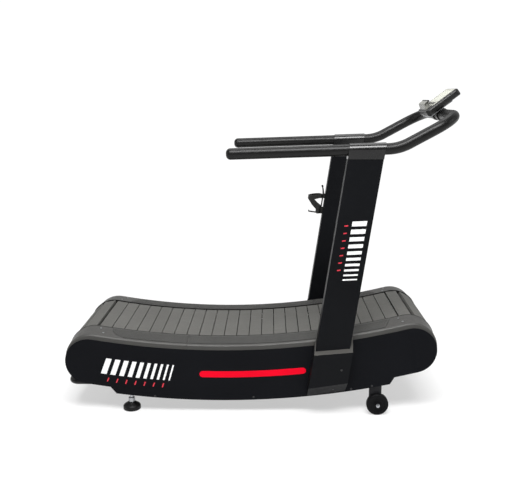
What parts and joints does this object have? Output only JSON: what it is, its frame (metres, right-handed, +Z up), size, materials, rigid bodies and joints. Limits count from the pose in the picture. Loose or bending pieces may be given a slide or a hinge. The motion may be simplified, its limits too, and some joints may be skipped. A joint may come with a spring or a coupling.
{
  "type": "curved manual treadmill",
  "caption": "Curved manual treadmill: slat belt on a concave arc between side panels, two leaning posts, one bent handlebar loop and a small tilting console.",
  "frame": {"origin": "middle of the overall length and width, on the floor", "axes": "+X towards the console end, +Y to the runner's left, +Z up"},
  "size_m": [1.8318, 0.844, 1.4873],
  "materials": {
    "frame_paint": "matte black powder coat",
    "panel_paint": "satin black powder coat",
    "cover_plastic": "fine-grained dark grey plastic",
    "grip_rubber": "textured non-slip strip",
    "stripe_red": "bonded red strip",
    "post_paint": "satin black powder coat",
    "boot_plastic": "fine-grained black plastic",
    "sleeve_paint": "satin black powder coat",
    "bar_paint": "satin black powder coat",
    "cap_plastic": "moulded end cap",
    "cage_plastic": "moulded black plastic",
    "console_plastic": "moulded black plastic",
    "console_face": "pale satin face",
    "display_panel": "liquid crystal window",
    "ledge_plastic": "smooth grey plastic",
    "button_plastic": "soft-touch keys",
    "bright_steel": "zinc plated",
    "dark_steel": "black oxide",
    "foot_rubber": "moulded rubber",
    "wheel_rubber": "solid wheel tyre",
    "hub_plastic": "moulded black hub",
    "cast_housing": "cast bearing housing",
    "pulley_alloy": "machined",
    "tread_rubber": "fine-grained grey rubber",
    "slat_alloy": "mill finish",
    "belt_rubber": "smooth belt"
  },
  "bodies": {
    "frame": {"side_frames": "frame_paint", "frame_cross_members": "frame_paint", "side_panel_right": "panel_paint", "side_panel_left": "panel_paint", "rear_rail_covers": "cover_plastic", "mid_rail_covers": "cover_plastic", "front_rail_covers": "cover_plastic", "foot_grip_strips": "grip_rubber", "accent_stripes": "stripe_red", "upright_right": "post_paint", "upright_left": "post_paint", "upright_boot_right": "boot_plastic", "upright_boot_left": "boot_plastic", "clamp_sleeves": "sleeve_paint", "black_screws": "dark_steel", "handlebar": "bar_paint", "handlebar_end_caps": "cap_plastic", "bottle_cage": "cage_plastic", "bottle_cage_bolts": "bright_steel", "rear_lift_handle": "bar_paint", "foot_brackets": "frame_paint", "foot_lock_nuts": "bright_steel", "wheel_brackets": "frame_paint", "wheel_axle_bolts": "bright_steel", "drum_bearings": "cast_housing", "track_bearings": "bright_steel", "cover_screws": "bright_steel"},
    "belt_top": {"treads_top": "tread_rubber", "slat_bars_top": "slat_alloy", "link_belts_top": "belt_rubber"},
    "front_drum": {"front_drum_shaft": "bright_steel", "front_pulleys": "pulley_alloy", "treads_front": "tread_rubber", "slat_bars_front": "slat_alloy", "link_belts_front": "belt_rubber"},
    "rear_drum": {"rear_drum_shaft": "bright_steel", "rear_pulleys": "pulley_alloy", "treads_rear": "tread_rubber", "slat_bars_rear": "slat_alloy", "link_belts_rear": "belt_rubber"},
    "belt_return": {"treads_return": "tread_rubber", "slat_bars_return": "slat_alloy", "link_belts_return": "belt_rubber"},
    "console": {"console_bracket": "dark_steel", "console_housing": "console_plastic", "console_face": "console_face", "console_display": "display_panel", "device_ledge": "ledge_plastic"},
    "button_1": {"console_button_1": "button_plastic"},
    "button_2": {"console_button_2": "button_plastic"},
    "button_3": {"console_button_3": "button_plastic"},
    "button_4": {"console_button_4": "button_plastic"},
    "wheel_right": {"wheel_tyre_right": "wheel_rubber", "wheel_hub_right": "hub_plastic"},
    "wheel_left": {"wheel_tyre_left": "wheel_rubber", "wheel_hub_left": "hub_plastic"},
    "foot_right": {"foot_stud_right": "bright_steel", "foot_pad_right": "foot_rubber"},
    "foot_left": {"foot_stud_left": "bright_steel", "foot_pad_left": "foot_rubber"}
  },
  "joints": [
    {"name": "belt_travel", "type": "hinge", "parent": "frame", "child": "belt_top", "pos_m": [-0.1845, 0, 3.856], "axis": [0, 1, 0], "range_deg": [-0.61377, 0.35534]},
    {"name": "front_drum_turn", "type": "hinge", "parent": "frame", "child": "front_drum", "pos_m": [0.69175, 0, 0.31789], "axis": [0, 1, 0], "range_deg": [-12.91, 22.3]},
    {"name": "rear_drum_turn", "type": "hinge", "parent": "frame", "child": "rear_drum", "pos_m": [-0.78986, 0, 0.26162], "axis": [0, 1, 0], "range_deg": [-12.91, 22.3]},
    {"name": "return_travel", "type": "hinge", "parent": "frame", "child": "belt_return", "pos_m": [-0.1845, 0, 3.856], "axis": [0, 1, 0], "range_deg": [-0.33779, 0.58273]},
    {"name": "console_tilt", "type": "hinge", "parent": "frame", "child": "console", "pos_m": [0.8462, 0, 1.3692], "axis": [0, 1, 0], "range_deg": [-15, 15]},
    {"name": "button_1_press", "type": "slide", "parent": "console", "child": "button_1", "axis": [0.6018, 0, -0.7986], "range_m": [0, 0.0012], "stiffness_N_per_m": 400, "springref_m": -0.001},
    {"name": "button_2_press", "type": "slide", "parent": "console", "child": "button_2", "axis": [0.6018, 0, -0.7986], "range_m": [0, 0.0012], "stiffness_N_per_m": 400, "springref_m": -0.001},
    {"name": "button_3_press", "type": "slide", "parent": "console", "child": "button_3", "axis": [0.6018, 0, -0.7986], "range_m": [0, 0.0012], "stiffness_N_per_m": 400, "springref_m": -0.001},
    {"name": "button_4_press", "type": "slide", "parent": "console", "child": "button_4", "axis": [0.6018, 0, -0.7986], "range_m": [0, 0.0012], "stiffness_N_per_m": 400, "springref_m": -0.001},
    {"name": "wheel_right_spin", "type": "hinge", "parent": "frame", "child": "wheel_right", "pos_m": [0.5395, -0.354, 0.051], "axis": [0, 1, 0], "continuous": true},
    {"name": "wheel_left_spin", "type": "hinge", "parent": "frame", "child": "wheel_left", "pos_m": [0.5395, 0.354, 0.051], "axis": [0, 1, 0], "continuous": true},
    {"name": "foot_right_screw", "type": "slide", "parent": "frame", "child": "foot_right", "axis": [0, 0, -1], "range_m": [0, 0.02]},
    {"name": "foot_left_screw", "type": "slide", "parent": "frame", "child": "foot_left", "axis": [0, 0, -1], "range_m": [0, 0.02]}
  ],
  "couplings": [
    {"joint": "front_drum_turn", "follows": "belt_travel", "ratio": -36.308},
    {"joint": "rear_drum_turn", "follows": "belt_travel", "ratio": -36.308},
    {"joint": "return_travel", "follows": "belt_travel", "ratio": -0.94779}
  ]
}
